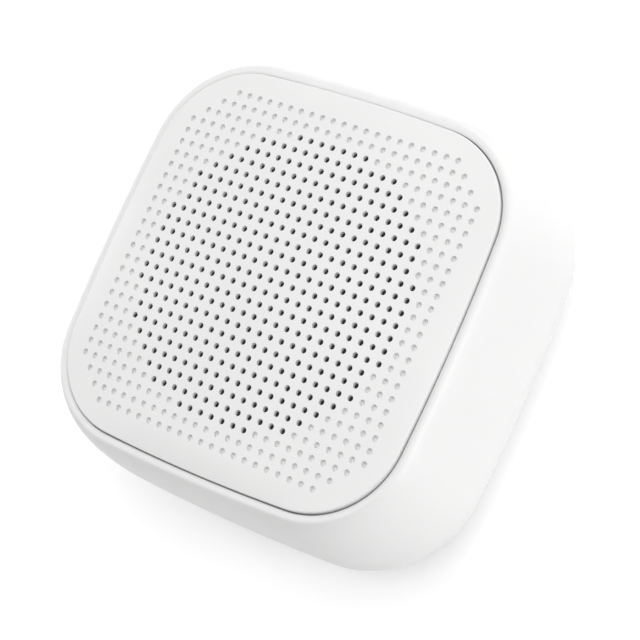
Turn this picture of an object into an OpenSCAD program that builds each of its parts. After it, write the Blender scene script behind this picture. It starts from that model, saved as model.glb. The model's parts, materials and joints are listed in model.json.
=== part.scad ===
// Pocket smart speaker: a bowed square body with a domed, perforated front panel,
// a full-range driver, a battery, a control board and two sprung keys.
// It lies on its foot pad. +Z is the way the grille faces, +Y is the key side,
// -X is the side with the charging socket. The origin is the centre of the foot's face.

/* [Body] */
// Width and height of the body across its flat sides
body_w = 54; // [53.6:0.1:55]
// Depth from the foot's face to the top of the dome
body_depth = 24.5; // [24.5:0.1:25.5]
// Radius of the body's corners, seen from the front
body_corner_r = 14.2; // [13.6:0.1:15]
// Radius of the slight bow of each side
body_bow_r = 277; // [200:1:400]
// Wall thickness of the housing and the rear cover
wall = 1.6; // [1.4:0.05:1.7]
// How far the shoulder comes in from the widest line to the front edge
shoulder_in = 2.3; // [2:0.05:2.4]
// Depth of the rear cover's rounded edge
back_round_h = 4.8; // [4.4:0.1:5]
// How far the rear cover's rounded edge comes in
back_round_in = 7.3; // [6.8:0.1:7.4]

/* [Front panel] */
// Width of the panel across its flat sides
panel_w = 47.8; // [47.4:0.1:48]
// Radius of the panel's corners
panel_corner_r = 11.1; // [10.8:0.1:11.6]
// Radius of the slight bow of the panel's sides
panel_bow_r = 239; // [200:1:300]
// Radius of the panel's dome
dome_r = 312; // [280:1:360]
// Thickness of the panel
panel_t = 1.3; // [1.1:0.05:1.4]
// Thickness of the panel over the driver, where the holes go through
field_t = 0.6; // [0.55:0.05:0.8]
// Gap between the panel and the lip of the housing
panel_gap = 0.1; // [0.08:0.01:0.25]

/* [Perforation] */
// Distance from hole to hole, along both rows
hole_pitch = 1.563; // [1.5:0.001:1.57]
// Diameter of a hole
hole_d = 0.72; // [0.5:0.01:0.75]
// Holes on each side of the middle one
hole_cells = 13; // [10:1:13]
// Largest sum of column and row, which cuts the corners of the field
hole_cut = 23; // [16:1:23]
// Radius within which the holes go right through
open_r = 18.25; // [14:0.05:18.3]
// Depth of the blind holes outside that radius
blind_depth = 0.45; // [0.3:0.05:0.5]

/* [Keys] */
// Length of a key along the side
key_len = 6.2; // [5:0.1:6.4]
// Height of a key, front to back
key_h = 4; // [3.4:0.1:4.2]
// How far a key stands proud of the side
key_proud = 0.2; // [0:0.05:0.4]
// Travel of a key
key_travel = 0.3; // [0.2:0.05:0.35]
// Distance of each key from the middle of the side
key_x = 14.6; // [13.6:0.1:15]

/* [Driver] */
// Outer radius of the driver's flange
flange_r = 19.3; // [19:0.05:19.3]
// Outer radius of the surround's roll
roll_r = 17.3; // [16.8:0.05:17.3]
// Radius of the cone's rim
cone_r = 14.6; // [14.2:0.05:14.6]
// Radius of the voice coil's former, outside
coil_r = 7.9; // [7.85:0.01:7.95]

/* [Hidden] */
$fn = 64;

b1 = body_w/2;                       // half width at the widest line
z_part = 6.2;                        // parting line between housing and rear cover
z_wide = 8.2;                        // height of the widest line
z_crest = body_depth - 1.65;         // front edge of the housing
b0 = b1 - shoulder_in;               // half width at the front edge
z_rear = z_part - back_round_h;      // rear face of the cover
z_seat = body_depth - 2.9;           // seat of the front panel
z_plate = z_seat - 1.7;              // underside of the housing's front plate
panel_b = panel_w/2;
z_flange = body_depth - 4.1;         // top of the driver's flange
z_board = 8.4;                       // underside of the main board
board_t = 1;
z_top_board = z_board + board_t;
key_z = 12.5;                        // height of the keys' middle
key_board_y = 20.7;                  // inner face of the key board
key_board_t = 0.8;
usb_z = z_top_board + 1.63;          // middle of the charging socket
boss = 15.6;                         // place of the four case screws
sheet_white = [0.93, 0.93, 0.925];
steel = [0.72, 0.73, 0.75];
black = [0.06, 0.06, 0.065];

// ---- Outline: four bowed sides and four round corners, which meet smoothly ----
// b is the half width, rc the corner radius, rs the bow radius and d an offset outwards.
function centre(b, rc, rs) = let(e = rs - b, q = rs - rc) (-2*e + sqrt(4*e*e - 8*(e*e - q*q)))/4;
function swing(b, rc, rs) = let(k = centre(b, rc, rs)) atan2(k, k + rs - b);
function turn(p, q) = [p[0]*cos(90*q) - p[1]*sin(90*q), p[0]*sin(90*q) + p[1]*cos(90*q)];
function outline(b, rc, rs, d = 0, n = 16) = let(k = centre(b, rc, rs), w = swing(b, rc, rs), e = rs - b)
    [for (q = [0:3]) for (a = [for (i = [0:3]) -w + i*w/2, for (i = [0:n - 1]) w + i*(90 - 2*w)/n])
        turn(a < w - 0.001 ? [-e + (rs + d)*cos(a), (rs + d)*sin(a)] : [k + (rc + d)*cos(a), k + (rc + d)*sin(a)], q)];
function body_line(half) = outline(b1, body_corner_r, body_bow_r, half - b1);
function panel_line(half) = outline(panel_b, panel_corner_r, panel_bow_r, half - panel_b);

// A wall that follows the body's outline. Its section is a list of [half width, height].
module body_ring(section) {
    k = centre(b1, body_corner_r, body_bow_r);
    w = swing(b1, body_corner_r, body_bow_r);
    for (q = [0:3]) rotate([0, 0, 90*q]) {
        for (m = [0, 1]) mirror([0, m, 0]) translate([b1 - body_bow_r, 0, 0]) rotate_extrude(angle = w, start = 0, $fn = 360)
            polygon([for (p = section) [mil(p[0]) - b1 + body_bow_r, mil(p[1])]]);
        translate([k, k, 0]) rotate_extrude(angle = 90 - 2*w, start = w, $fn = 96)
            polygon([for (p = section) [mil(p[0]) - b1 + body_corner_r, mil(p[1])]]);
    }
}
// Rounded to a thousandth, so that the sides' and the corners' sections meet exactly
function mil(x) = round(x*1000)/1000;
// Half width of the outside at a height z, above the parting line
function side_at(z) = z < z_wide ? b1 : b0 + shoulder_in*sqrt(max(0, 1 - pow((z - z_wide)/(z_crest - z_wide), 2)));
shoulder = concat(
    [for (i = [0:14]) let(a = 90*i/14) [b0 + shoulder_in*cos(a), z_wide + (z_crest - z_wide)*sin(a)]],
    [[panel_b + panel_gap + 0.12, z_crest]]);
// The same line, moved out by d
function shoulder_off(d) = [for (i = [0:14]) let(a = 90*i/14, m = z_crest - z_wide, l = norm([m*cos(a), shoulder_in*sin(a)]))
    [b0 + shoulder_in*cos(a) + d*m*cos(a)/l, z_wide + m*sin(a) + d*shoulder_in*sin(a)/l]];

// ---- Small helpers ----
module ring(r_out, r_in, z0, z1, fn = 96) {
    translate([0, 0, z0]) difference() {
        cylinder(r = r_out, h = z1 - z0, $fn = fn);
        translate([0, 0, -1]) cylinder(r = r_in, h = z1 - z0 + 2, $fn = fn);
    }
}
module plate(points, z0, z1) { translate([0, 0, z0]) linear_extrude(height = z1 - z0) polygon(points); }
module block(lo, hi) { translate(lo) cube([hi[0] - lo[0], hi[1] - lo[1], hi[2] - lo[2]]); }
// A bar with a round-cornered section, along Y. c is its middle in X and Z.
module slot_y(cx, cz, w, h, r, y0, y1) {
    translate([cx, y1, cz]) rotate([90, 0, 0]) linear_extrude(height = y1 - y0) rounded(w, h, r);
}
module slot_x(cy, cz, w, h, r, x0, x1) {
    translate([x0, cy, cz]) rotate([90, 0, 90]) linear_extrude(height = x1 - x0) rounded(w, h, r);
}
module rounded(w, h, r) {
    union() {
        square([w - 2*r, h], center = true);
        square([w, h - 2*r], center = true);
        for (i = [-1, 1]) for (j = [-1, 1]) translate([i*(w/2 - r), j*(h/2 - r)]) circle(r = r, $fn = 32);
    }
}
// A round lead of radius r along a smooth curve through the points of a route
function bend(p, i, t) = let(a = p[max(i - 1, 0)], b = p[i], c = p[i + 1], d = p[min(i + 2, len(p) - 1)])
    0.5*(2*b + (c - a)*t + (2*a - 5*b + 4*c - d)*t*t + (3*b - a - 3*c + d)*t*t*t);
function smooth(p, n) = [for (i = [0:len(p) - 2]) for (j = [0:n - 1]) bend(p, i, j/n), p[len(p) - 1]];
function unit(v) = v/norm(v);
module lead(route, r, up, n = 4) {
    c = smooth(route, n);
    m = len(c);
    pts = [for (i = [0:m - 1]) let(t = unit(c[min(i + 1, m - 1)] - c[max(i - 1, 0)]), u = unit(cross(t, up)), v = cross(t, u))
        for (k = [0:7]) c[i] + r*(cos(45*k)*u + sin(45*k)*v)];
    polyhedron(points = pts, faces = concat(
        [[for (k = [0:7]) k]], [[for (k = [7:-1:0]) (m - 1)*8 + k]],
        [for (i = [0:m - 2]) for (k = [0:7]) [i*8 + k, (i + 1)*8 + k, (i + 1)*8 + (k + 1)%8, i*8 + (k + 1)%8]]));
}

// ---- Front ----
grid = [for (i = [-hole_cells:hole_cells]) for (j = [-hole_cells:hole_cells]) if (abs(i) + abs(j) <= hole_cut) [i, j]*hole_pitch];
open_holes = [for (p = grid) if (norm(p) < open_r) p];
blind_holes = [for (p = grid) if (norm(p) >= open_r) p];
function dome_z(p) = body_depth - (p[0]*p[0] + p[1]*p[1])/(2*dome_r);
field_r = open_r + 0.47;              // radius of the thin part over the driver
module dome(inset) { translate([0, 0, body_depth - dome_r]) sphere(r = dome_r - inset, $fn = 360); }

module front_grille() {
    color(sheet_white) difference() {
        intersection() {
            translate([0, 0, z_seat + 0.15]) linear_extrude(height = 4) difference() {
                polygon(panel_line(panel_b));
                for (p = open_holes) translate(p) circle(d = hole_d, $fn = 16);
            }
            dome(0);
        }
        intersection() {
            plate(panel_line(panel_b - 1.3), z_seat - 1, z_seat + 3);
            dome(panel_t);
        }
        intersection() {
            translate([0, 0, z_seat - 1]) cylinder(r = field_r, h = 6, $fn = 96);
            dome(field_t);
        }
        for (p = blind_holes) translate([p[0], p[1], dome_z(p) - blind_depth]) cylinder(d = hole_d, h = 2, $fn = 16);
    }
}
module grille_tape() {
    color([0.12, 0.12, 0.12]) difference() {
        plate(panel_line(panel_b - 0.1), z_seat, z_seat + 0.15);
        plate(panel_line(panel_b - 1.2), z_seat - 1, z_seat + 1);
    }
}
module grille_mesh() {
    color([0.035, 0.035, 0.04]) difference() {
        intersection() {
            translate([0, 0, z_seat]) cylinder(r = field_r - 0.07, h = 4, $fn = 96);
            dome(field_t + 0.05);
        }
        dome(field_t + 0.3);
    }
}
module driver_gasket() {
    color([0.1, 0.1, 0.1]) ring(flange_r - 0.05, flange_r - 0.95, z_flange, dome_z([flange_r, 0]) - panel_t - 0.06);
}

// ---- Housing ----
housing_section = concat(
    [[b1 - wall, z_part + 0.05], [b1 - 0.15, z_part + 0.05], [b1, z_part + 0.2]],
    shoulder,
    [[panel_b + panel_gap, z_crest - 0.12], [panel_b + panel_gap, z_seat - 0.6],
     [side_at(z_plate) - wall, z_plate], [side_at(16) - wall, 16], [side_at(12) - wall, 12], [b1 - wall, z_wide]]);

module key_hole(cx) { slot_y(cx, key_z, key_len + 0.3, key_h + 0.3, 2, 18, 30); }
module housing() {
    color(sheet_white) difference() {
        union() {
            difference() {
                union() {
                    body_ring(housing_section);
                    plate(body_line(b0 - 0.35), z_plate, z_seat);
                    translate([0, 0, z_plate - 1.7]) cylinder(r = flange_r + 1.6, h = 2, $fn = 96);
                    for (i = [-1, 1]) for (j = [-1, 1]) translate([i*boss, j*boss, 8]) cylinder(r = 2.3, h = z_plate - 7.5, $fn = 48);
                }
                translate([0, 0, z_flange - 1]) cylinder(r = flange_r + 0.25, h = 6, $fn = 96);
                translate([0, 0, 5]) cylinder(r = flange_r - 1.4, h = 20, $fn = 96);
            }
            // slotted ribs that hold the key board
            for (s = [-1, 1]) difference() {
                block([s > 0 ? 16.9 : -19.4, 19.6, 9.6], [s > 0 ? 19.4 : -16.9, 22.4, z_plate + 0.5]);
                block([s > 0 ? 15 : -17.55, key_board_y - 0.05, 9], [s > 0 ? 17.55 : -15, key_board_y + key_board_t + 0.05, 15.5]);
            }
        }
        for (i = [-1, 1]) for (j = [-1, 1]) translate([i*boss, j*boss, 7]) cylinder(r = 1, h = 6, $fn = 32);
        key_hole(-key_x);
        key_hole(key_x);
        translate([-3, 30, key_z]) rotate([90, 0, 0]) cylinder(r = 0.8, h = 8, $fn = 32);
        translate([3, 30, key_z]) rotate([90, 0, 0]) cylinder(r = 0.5, h = 8, $fn = 32);
        slot_x(0, usb_z, 9.4, 3.7, 1.6, -30, -20);
    }
}

// ---- Rear ----
function back_pt(a) = [b1 - 0.1 - (back_round_in - 0.1)*(1 - cos(a)), z_part - 0.05 - (back_round_h - 0.05)*sin(a)];
cover_section = concat(
    [[b1 - back_round_in - 2, z_rear + wall], [b1 - back_round_in - 2, z_rear]],
    [for (i = [14:-1:0]) back_pt(90*i/14)],
    [[b1 - wall - 0.2, z_part - 0.05], [b1 - wall - 0.2, z_part + 1.15], [b1 - wall - 1.2, z_part + 1.15], [b1 - wall - 1.2, z_part - 0.1],
     [b1 - 0.1 - (back_round_in - 0.1)*(1 - cos(40)) - wall - 0.3, z_part - back_round_h*sin(40) + 0.3]]);

module rear_cover() {
    pad_half = b1 - back_round_in - 0.7;
    color(sheet_white) difference() {
        union() {
            body_ring(cover_section);
            plate(body_line(b1 - back_round_in - 1), z_rear, z_rear + 2);
            for (i = [-1, 1]) for (j = [-1, 1]) translate([i*boss, j*boss, z_rear + 1]) cylinder(r = 3, h = 7.9 - z_rear - 1, $fn = 48);
            for (s = [-1, 1]) translate([s*20, s*8, z_rear + 1]) cylinder(r = 1.9, h = z_board - z_rear - 1, $fn = 48);
        }
        plate(body_line(pad_half + 0.1), z_rear - 1, z_rear + 0.6);
        for (i = [-1, 1]) for (j = [-1, 1]) translate([i*boss, j*boss, 0]) {
            cylinder(r = 1.15, h = 12, $fn = 32);
            cylinder(r = 2, h = 4.2, $fn = 48);
        }
        for (s = [-1, 1]) translate([s*20, s*8, z_rear + 2.2]) cylinder(r = 0.8, h = 8, $fn = 32);
    }
}
module foot_pad() {
    pad_half = b1 - back_round_in - 0.7;
    color([0.83, 0.83, 0.825]) body_ring_pad(pad_half);
}
// The foot: a soft pad with a rounded edge
module body_ring_pad(half) {
    section = [[half - 3, 0], [half - 0.8, 0], [half - 0.38, 0.12], [half - 0.1, 0.4], [half, 0.8], [half, z_rear + 0.4], [half - 3, z_rear + 0.4]];
    union() {
        body_ring(section);
        plate(body_line(half - 2), 0, z_rear + 0.4);
    }
}
module pad_tape() { color([0.85, 0.83, 0.75]) plate(body_line(b1 - back_round_in - 1), z_rear + 0.4, z_rear + 0.6); }
module case_screws() {
    color(steel) for (i = [-1, 1]) for (j = [-1, 1]) translate([i*boss, j*boss, 0]) difference() {
        union() {
            translate([0, 0, 3]) cylinder(r = 1.75, h = 1.2, $fn = 48);
            translate([0, 0, 4]) cylinder(r = 0.97, h = 8, $fn = 32);
            translate([0, 0, 12]) cylinder(r1 = 0.97, r2 = 0.3, h = 0.7, $fn = 32);
        }
        translate([-1.1, -0.2, 2.5]) cube([2.2, 0.4, 1.1]);
        translate([-0.2, -1.1, 2.5]) cube([0.4, 2.2, 1.1]);
    }
}

// ---- Driver ----
module driver_basket() {
    z = z_flange;
    color([0.16, 0.16, 0.17]) difference() {
        rotate_extrude($fn = 96) polygon([[flange_r - 2, z], [flange_r, z], [flange_r, z - 0.7], [flange_r - 1.6, z - 0.7], [flange_r - 1.6, z - 1.9],
            [13.9, z - 3.7], [13.6, z - 4.6], [12.6, z - 5.4], [10.25, z - 5.4], [10.25, z - 4.6], [12.2, z - 4.6], [12.9, z - 4.1], [12.9, z - 3],
            [13.9, z - 3], [flange_r - 2.1, z - 1.3]]);
        for (a = [0:60:300]) rotate([0, 0, a + 30]) translate([15.3, 0, z - 4.2]) cylinder(r = 1.6, h = 3.2, $fn = 32);
    }
}
module driver_seal() { color([0.12, 0.12, 0.12]) ring(flange_r - 0.1, flange_r - 1.3, z_flange - 1, z_flange - 0.7); }
module driver_yoke() {
    z = z_flange;
    color(steel) rotate_extrude($fn = 96) polygon([[0, z - 9.8], [9.6, z - 9.8], [10.2, z - 9.3], [10.2, z - 4.6], [9, z - 4.6], [9, z - 8.4], [0, z - 8.4]]);
}
module driver_magnet() { color([0.62, 0.63, 0.65]) translate([0, 0, z_flange - 8.4]) cylinder(r = 7, h = 2.6, $fn = 96); }
module pole_piece() { color(steel) translate([0, 0, z_flange - 5.8]) cylinder(r = 7.35, h = 1.2, $fn = 96); }
module coil_former() { color([0.75, 0.6, 0.35]) ring(coil_r, coil_r - 0.15, z_flange - 7.3, z_flange - 1.75); }
module coil_winding() { color([0.72, 0.4, 0.2]) ring(coil_r + 0.45, coil_r, z_flange - 6.4, z_flange - 4); }
function wave(r, z, n, h) = z + h*sin(360*n*(r - 8.4)/(12.9 - 8.4));
module spider() {
    z = z_flange - 2.85;
    rs = [for (i = [0:40]) 8.4 + (12.9 - 8.4)*i/40];
    color([0.8, 0.62, 0.2]) rotate_extrude($fn = 96) polygon(concat(
        [[coil_r, z - 0.1], [8.4, z - 0.1]], [for (r = rs) [r, wave(r, z, 4, 0.3) - 0.1]], [[13.8, z - 0.1], [13.8, z + 0.1]],
        [for (i = [40:-1:0]) [rs[i], wave(rs[i], z, 4, 0.3) + 0.1]], [[coil_r, z + 0.1]]));
}
module cone() {
    z = z_flange;
    color([0.07, 0.07, 0.075]) rotate_extrude($fn = 96) polygon([[coil_r, z - 1.95], [coil_r, z - 1.7], [13.6, z], [cone_r, z], [cone_r, z - 0.25], [13.7, z - 0.25], [8.2, z - 1.95]]);
}
module dust_cap() {
    z = z_flange - 1.6;
    color([0.09, 0.09, 0.095]) rotate_extrude($fn = 96) polygon(concat(
        [for (i = [0:12]) let(a = 33*i/12) [15*sin(a), z - 12.3 + 15*cos(a)]],
        [for (i = [12:-1:0]) let(a = 33*i/12) [14.78*sin(a), z - 12.3 + 14.78*cos(a)]]));
}
module surround() {
    z = z_flange;
    m = (cone_r + roll_r)/2;
    h = (roll_r - cone_r)/2;
    color([0.05, 0.05, 0.05]) rotate_extrude($fn = 96) polygon(concat(
        [[cone_r - 0.9, z], [cone_r - 0.9, z + 0.18]], [for (i = [0:16]) let(a = 180 - 180*i/16) [m + h*cos(a), z + 0.18 + h*sin(a)]],
        [[flange_r - 1, z + 0.18], [flange_r - 1, z], [roll_r - 0.18, z]], [for (i = [1:15]) let(a = 180*i/16) [m + (h - 0.18)*cos(a), z + 0.02 + (h - 0.18)*sin(a)]],
        [[cone_r + 0.18, z]]));
}
module driver_terminals() {
    z = z_flange;
    color([0.15, 0.32, 0.2]) translate([-4, 0, 0]) rotate([90, 0, 90]) linear_extrude(height = 8)
        polygon([[-18.5, z - 3.9], [-15.95, z - 3.9], [-15.1, z - 3.55], [-15.1, z - 3.18], [-17.08, z - 2.25], [-18.5, z - 2.25]]);
}

// ---- Electronics ----
module main_board() {
    color([0.05, 0.27, 0.16]) difference() {
        plate(body_line(b1 - wall - 1.6), z_board, z_top_board);
        for (i = [-1, 1]) for (j = [-1, 1]) translate([i*boss, j*boss, z_board - 1]) cylinder(r = 2.8, h = 3, $fn = 48);
        for (s = [-1, 1]) translate([s*20, s*8, z_board - 1]) cylinder(r = 1.1, h = 3, $fn = 32);
    }
}
module board_screws() {
    color(steel) for (s = [-1, 1]) translate([s*20, s*8, 0]) difference() {
        union() {
            translate([0, 0, z_top_board]) cylinder(r = 1.6, h = 0.9, $fn = 48);
            translate([0, 0, z_top_board - 4.6]) cylinder(r = 0.77, h = 4.7, $fn = 32);
        }
        translate([-1, -0.18, z_top_board + 0.35]) cube([2, 0.36, 1]);
        translate([-0.18, -1, z_top_board + 0.35]) cube([0.36, 2, 1]);
    }
}
module wireless_chip() { color([0.1, 0.1, 0.11]) block([5.5, -15.5, z_top_board], [11.5, -9.5, z_top_board + 0.85]); }
module amplifier_chip() { color([0.1, 0.1, 0.11]) block([-3.5, -17.5, z_top_board], [0.5, -13.5, z_top_board + 0.85]); }
module crystal() { color([0.8, 0.8, 0.78]) block([16, -10, z_top_board], [18.5, -6.8, z_top_board + 0.7]); }
module power_inductor() { color([0.22, 0.22, 0.23]) block([-14, -8, z_top_board], [-11, -5, z_top_board + 1.1]); }
module board_parts() {
    color([0.62, 0.5, 0.35]) {
        for (i = [0:5]) block([2.5 + i*1.0 - 0.25, -18.6, z_top_board], [2.5 + i*1.0 + 0.25, -17.6, z_top_board + 0.5]);
        for (i = [0:4]) block([-17.5 + i*1.1, -11.2, z_top_board], [-17.5 + i*1.1 + 0.6, -10, z_top_board + 0.6]);
        for (i = [0:3]) block([16.4, -5.6 + i*1.1, z_top_board], [17.5, -5.6 + i*1.1 + 0.55, z_top_board + 0.5]);
        for (i = [0:4]) block([-6 + i*1.2, 12.6, z_top_board], [-6 + i*1.2 + 0.6, 13.8, z_top_board + 0.5]);
    }
}
module antenna() { color([0.85, 0.85, 0.83]) block([20.6, -9, z_top_board], [22.6, -1.6, z_top_board + 1]); }
module usb_socket() {
    x0 = -(b1 - 0.7);
    color(steel) union() {
        difference() {
            slot_x(0, usb_z, 8.94, 3.26, 1.4, x0, x0 + 7.3);
            slot_x(0, usb_z, 8.34, 2.66, 1.15, x0 - 1, x0 + 6.7);
        }
    }
}
module usb_tongue() { color(black) block([-(b1 - 0.7) + 1.2, -3.35, usb_z - 0.35], [-(b1 - 0.7) + 6.7, 3.35, usb_z + 0.35]); }
module battery() {
    color([0.75, 0.76, 0.78]) union() {
        block([-15.5, -12, z_rear + 2.2], [17, 12, z_rear + 6]);
        block([-17, -11.2, z_rear + 3.2], [-15.5, 11.2, z_rear + 5]);
    }
}
module battery_tape() { color([0.9, 0.9, 0.88]) block([-12, -9, z_rear + 2], [13, 9, z_rear + 2.2]); }
module battery_connector() { color([0.93, 0.92, 0.86]) block([-9, -21.6, z_top_board], [-4.6, -18.4, z_top_board + 3]); }
module speaker_connector() { color([0.93, 0.92, 0.86]) block([9, -22, z_top_board], [12.4, -19, z_top_board + 2.6]); }
module speaker_leads() {
    for (s = [0, 1]) color(s == 0 ? [0.6, 0.08, 0.07] : black)
        lead([[1.4 + s*1.4, -18.8, z_flange - 3.1], [2 + s*1.6, -20.4, z_flange - 4.4], [5.2 + s*1.3, -21.1, z_flange - 6.4], [9.4 + s*1.3, -20.9, z_top_board + 3.8], [10 + s*1.3, -20.5, z_top_board + 2.82]],
            0.3, [0.2, 1, 0.1]);
}
module battery_leads() {
    for (s = [0, 1]) color(s == 0 ? [0.6, 0.08, 0.07] : black)
        lead([[-17, 8.2 + s*1.5, z_rear + 4.1], [-18.6 - s*0.5, 8.8 + s*1.6, z_rear + 4.3], [-20.3 - s*0.4, 10.8 + s*1.2, z_rear + 5.4]], 0.35, [0, 0, 1]);
}
module key_board() { color([0.05, 0.27, 0.16]) block([-17.5, key_board_y, 9.7], [17.5, key_board_y + key_board_t, 15.4]); }
module key_ribbon() {
    color([0.75, 0.5, 0.15]) translate([-3.5, 0, 0]) rotate([90, 0, 90]) linear_extrude(height = 7)
        polygon([[key_board_y, 13.4], [key_board_y - 0.2, 13.4], [key_board_y - 0.2, 10.2], [key_board_y - 1, z_top_board + 0.2],
            [key_board_y - 4.5, z_top_board + 0.2], [key_board_y - 4.5, z_top_board], [key_board_y - 0.9, z_top_board], [key_board_y, 10.1]]);
}
// A key follows the side of the body and stands a little proud of it. Its flange keeps it in.
module key(cx) {
    flange_y = 23.6;
    union() {
        intersection() {
            slot_y(cx, key_z, key_len, key_h, 1.85, flange_y, 30);
            body_ring(concat([[b1 - 6, z_part], [b1 + key_proud, z_part], [b1 + key_proud, z_wide]], shoulder_off(key_proud), [[b1 - 6, z_crest + key_proud]]));
        }
        intersection() {
            slot_y(cx, key_z, key_len + 0.9, key_h + 0.9, 2.2, 20, 30);
            body_ring([[b1 - wall - 0.7, 8.4], [b1 - wall - 0.15, 8.4], [side_at(12) - wall - 0.12, 12], [side_at(16) - wall - 0.12, 16], [side_at(16) - wall - 0.7, 16], [side_at(12) - wall - 0.7, 12]]);
        }
    }
}
module power_key() { color([0.9, 0.9, 0.895]) key(-key_x); }
module voice_key() { color([0.9, 0.9, 0.895]) key(key_x); }
module tact_switch(cx) {
    y = key_board_y + key_board_t;
    difference() {
        block([cx - 2, y, key_z - 1.5], [cx + 2, y + 1.5, key_z + 1.5]);
        translate([cx, y + 2, key_z]) rotate([90, 0, 0]) cylinder(r = 1, h = 1.8, $fn = 48);
    }
}
module plunger(cx) {
    y = key_board_y + key_board_t;
    translate([cx, 23.6, key_z]) rotate([90, 0, 0]) cylinder(r = 0.93, h = 23.6 - y - 0.6, $fn = 48);
}
module power_switch() { color([0.75, 0.76, 0.77]) tact_switch(-key_x); }
module voice_switch() { color([0.75, 0.76, 0.77]) tact_switch(key_x); }
module power_plunger() { color(black) plunger(-key_x); }
module voice_plunger() { color(black) plunger(key_x); }
module status_led() { color([0.95, 0.93, 0.8]) block([-3.8, key_board_y + key_board_t, key_z - 0.5], [-2.2, key_board_y + key_board_t + 0.7, key_z + 0.5]); }
module light_pipe() {
    color([0.9, 0.93, 0.95]) union() {
        translate([-3, side_at(key_z) - 0.05, key_z]) rotate([90, 0, 0]) cylinder(r = 0.75, h = side_at(key_z) - 0.05 - 22.5, $fn = 32);
        translate([-3, 24.4, key_z]) rotate([90, 0, 0]) cylinder(r = 1.4, h = 1.9, $fn = 48);
    }
}
module microphone() { color([0.78, 0.76, 0.68]) block([1.65, key_board_y + key_board_t, key_z - 1], [4.35, key_board_y + key_board_t + 1, key_z + 1]); }
module mic_boot() {
    color([0.13, 0.13, 0.135]) difference() {
        block([1.1, key_board_y + key_board_t + 1, key_z - 1.6], [4.9, side_at(key_z) - wall - 0.25, key_z + 1.6]);
        translate([3, 30, key_z]) rotate([90, 0, 0]) cylinder(r = 0.5, h = 12, $fn = 32);
    }
}

front_grille();
grille_tape();
grille_mesh();
driver_gasket();
housing();
rear_cover();
foot_pad();
pad_tape();
case_screws();
driver_basket();
driver_seal();
driver_yoke();
driver_magnet();
pole_piece();
coil_former();
coil_winding();
spider();
cone();
dust_cap();
surround();
driver_terminals();
speaker_leads();
main_board();
board_screws();
wireless_chip();
amplifier_chip();
crystal();
power_inductor();
board_parts();
antenna();
usb_socket();
usb_tongue();
battery();
battery_tape();
battery_leads();
battery_connector();
speaker_connector();
key_board();
key_ribbon();
power_key();
voice_key();
power_switch();
voice_switch();
power_plunger();
voice_plunger();
status_led();
light_pipe();
microphone();
mic_boot();
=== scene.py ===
"""Looks of the pocket smart speaker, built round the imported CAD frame. Lengths in the mesh code are millimetres."""

import json
import math

import bmesh
import bpy
import numpy as np
from mathutils import Matrix, Vector
from mathutils.geometry import delaunay_2d_cdt


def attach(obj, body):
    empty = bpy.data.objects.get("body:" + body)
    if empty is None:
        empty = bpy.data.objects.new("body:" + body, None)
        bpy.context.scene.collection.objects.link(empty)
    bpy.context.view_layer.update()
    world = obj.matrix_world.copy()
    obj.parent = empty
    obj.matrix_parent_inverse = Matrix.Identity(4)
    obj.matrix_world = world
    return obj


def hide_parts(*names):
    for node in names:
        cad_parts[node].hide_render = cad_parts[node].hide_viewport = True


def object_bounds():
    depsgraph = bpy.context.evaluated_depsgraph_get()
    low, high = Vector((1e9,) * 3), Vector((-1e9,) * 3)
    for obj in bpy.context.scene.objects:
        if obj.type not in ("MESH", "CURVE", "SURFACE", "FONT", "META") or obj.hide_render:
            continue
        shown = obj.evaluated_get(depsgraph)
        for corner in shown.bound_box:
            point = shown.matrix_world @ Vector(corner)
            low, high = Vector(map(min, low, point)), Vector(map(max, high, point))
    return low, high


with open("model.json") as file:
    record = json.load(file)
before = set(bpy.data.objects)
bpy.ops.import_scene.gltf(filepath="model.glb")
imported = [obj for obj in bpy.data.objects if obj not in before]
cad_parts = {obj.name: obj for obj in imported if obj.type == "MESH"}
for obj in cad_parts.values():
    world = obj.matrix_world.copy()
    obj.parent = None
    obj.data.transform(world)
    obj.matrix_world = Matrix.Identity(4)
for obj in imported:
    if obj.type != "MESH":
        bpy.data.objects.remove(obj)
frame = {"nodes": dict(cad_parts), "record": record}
NODES = frame["nodes"]
cad_lo, cad_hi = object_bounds()
MM = 0.001

# ------------------------------------------------------------------ sizes, as in the CAD
B1, RC, RS = 27.0, 14.2, 277.0            # body: half width, corner radius, bow radius
PB, PRC, PRS = 23.9, 11.1, 239.0          # front panel
DEPTH = cad_hi.z / MM                     # 24.5
Z_PART, Z_WIDE, Z_CREST, Z_REAR = 6.2, 8.2, DEPTH - 1.65, 1.4
Z_EDGE = DEPTH - 1.28
B0, SHOULDER_IN = 24.7, 2.3
ROUND_IN, ROUND_H = 7.3, 4.8
WALL = 1.6
Z_SEAT = DEPTH - 2.9
Z_PLATE = Z_SEAT - 1.7
DOME_R, PANEL_T, FIELD_T = 312.0, 1.3, 0.6
PITCH, HOLE_R, CELLS, CUT, OPEN_R = 1.563, 0.36, 13, 23, 18.25
FIELD_R = OPEN_R + 0.37
FLANGE_R = 19.3
KEY_X, KEY_Z, KEY_L, KEY_H, KEY_PROUD = 14.6, 12.5, 6.2, 4.0, 0.2
USB_Z = 11.03
BOSS = 15.6
PAD_HALF = B1 - ROUND_IN - 0.7


# ------------------------------------------------------------------ outline: four bowed sides, four round corners
def joint_of(b, rc, rs):
    e, q = rs - b, rs - rc
    k = (-2 * e + math.sqrt(4 * e * e - 8 * (e * e - q * q))) / 4
    return k, math.atan2(k, k + e)


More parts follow.
